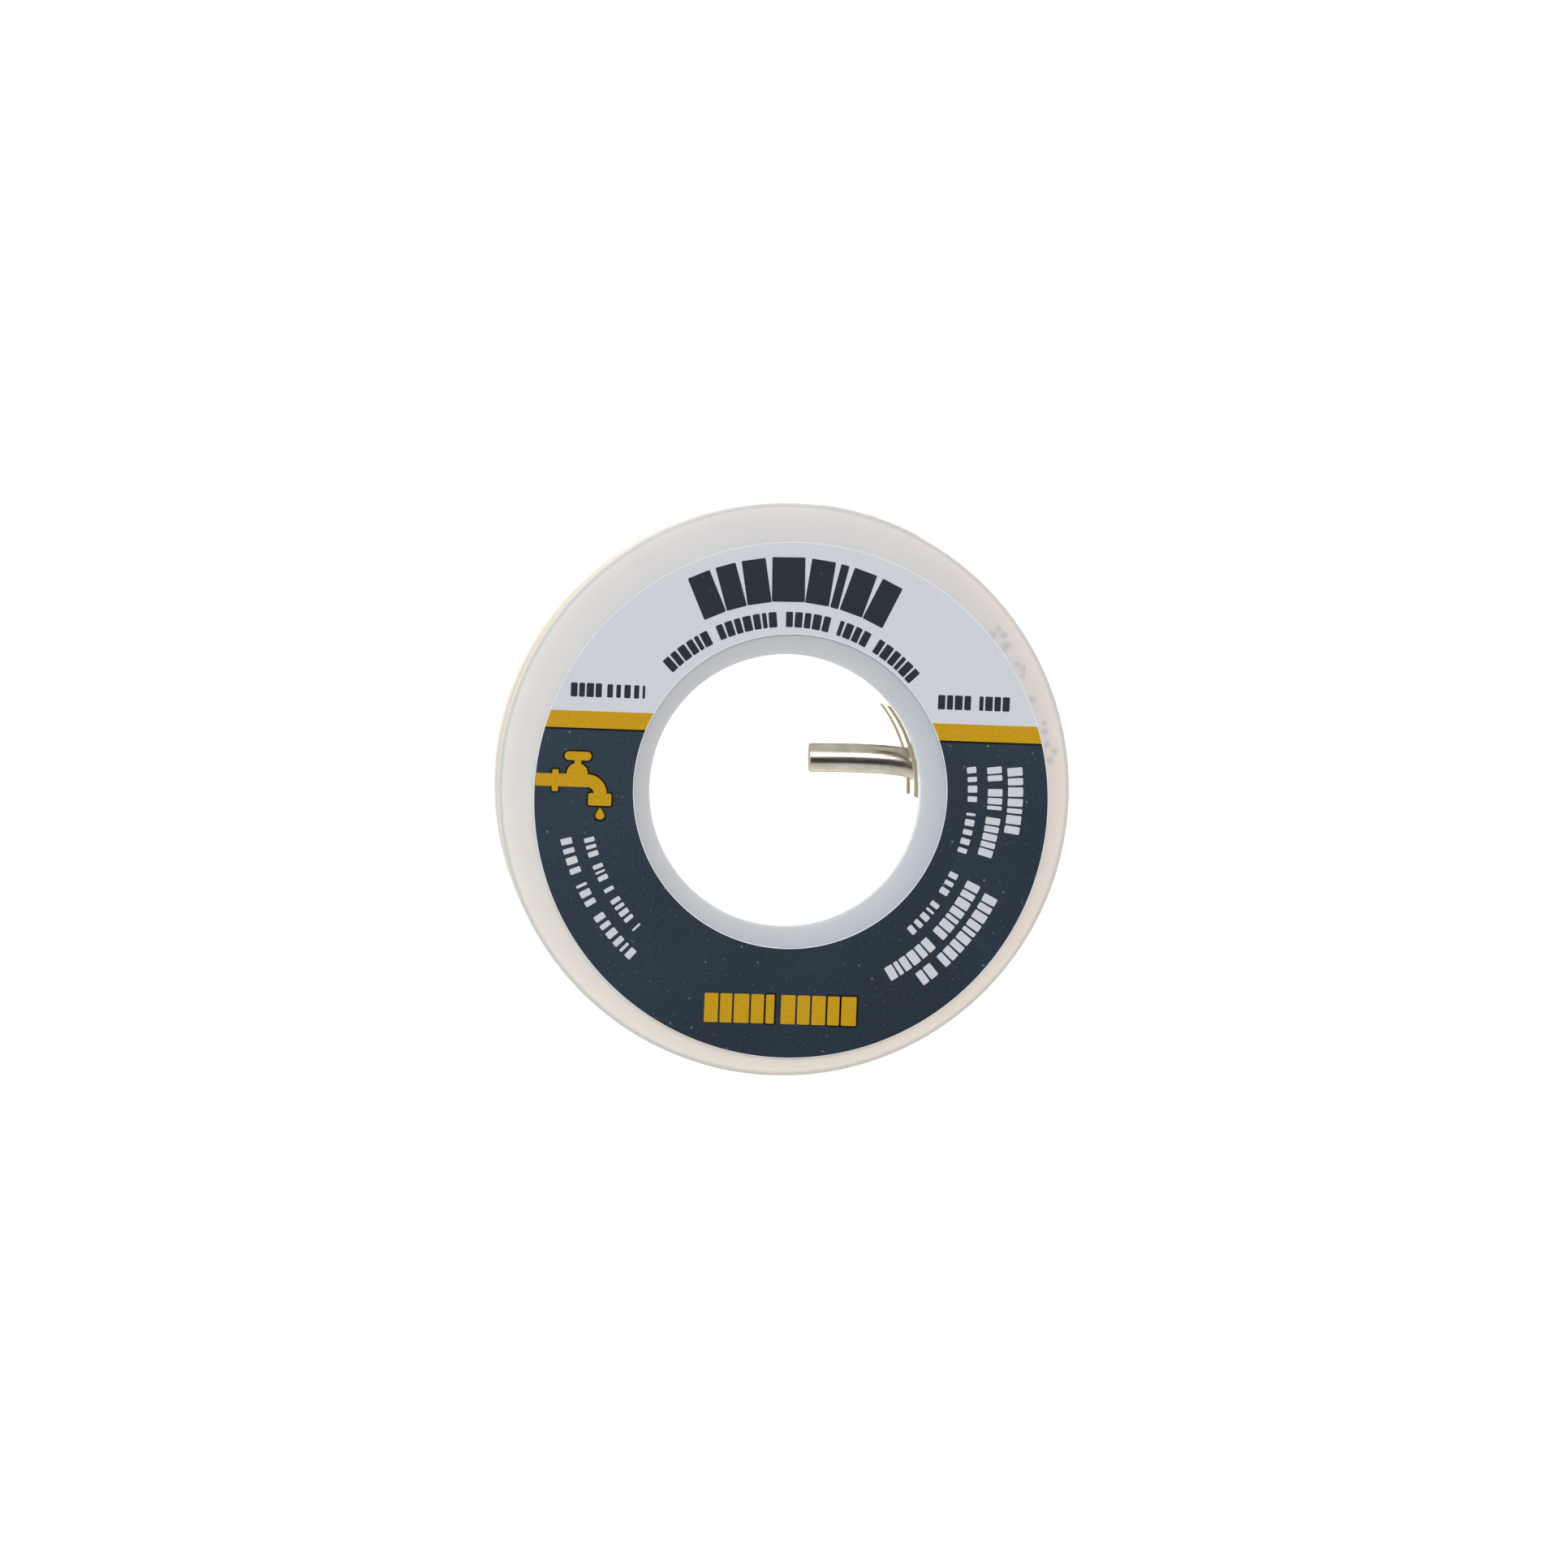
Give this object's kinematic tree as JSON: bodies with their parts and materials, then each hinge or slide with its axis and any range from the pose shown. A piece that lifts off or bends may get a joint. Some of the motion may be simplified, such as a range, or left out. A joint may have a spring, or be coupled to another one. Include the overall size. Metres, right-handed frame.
{
  "type": "solder wire spool",
  "caption": "Small flanged plastic spool lying flat, wound with thick solder wire whose cut end shows in the wide bore, with a printed ring label on its front flange",
  "frame": {"origin": "on the spool's axis, at the outer face of the rear flange, which is the face it rests on", "axes": "+Z along the spool's axis from the rear flange to the labelled front flange; +Y is up for a reader of the label; +X is to the reader's right, towards the slot the wire's end comes through"},
  "size_m": [0.06, 0.0602, 0.0152],
  "materials": {
    "spool_plastic": "natural translucent polypropylene, moulded satin",
    "label_paper": "coated paper printed navy, white and gold, satin varnish",
    "solder": "drawn tin alloy wire, bright with a warm grey film",
    "clear_tape": "clear film tape, glossy"
  },
  "bodies": {
    "root": {"front_flange": "spool_plastic", "rear_flange": "spool_plastic", "hub_core": "spool_plastic", "front_label": "label_paper", "solder_first_layer": "solder", "solder_second_layer": "solder", "solder_tail": "solder", "holding_tape": "clear_tape"}
  },
  "joints": []
}
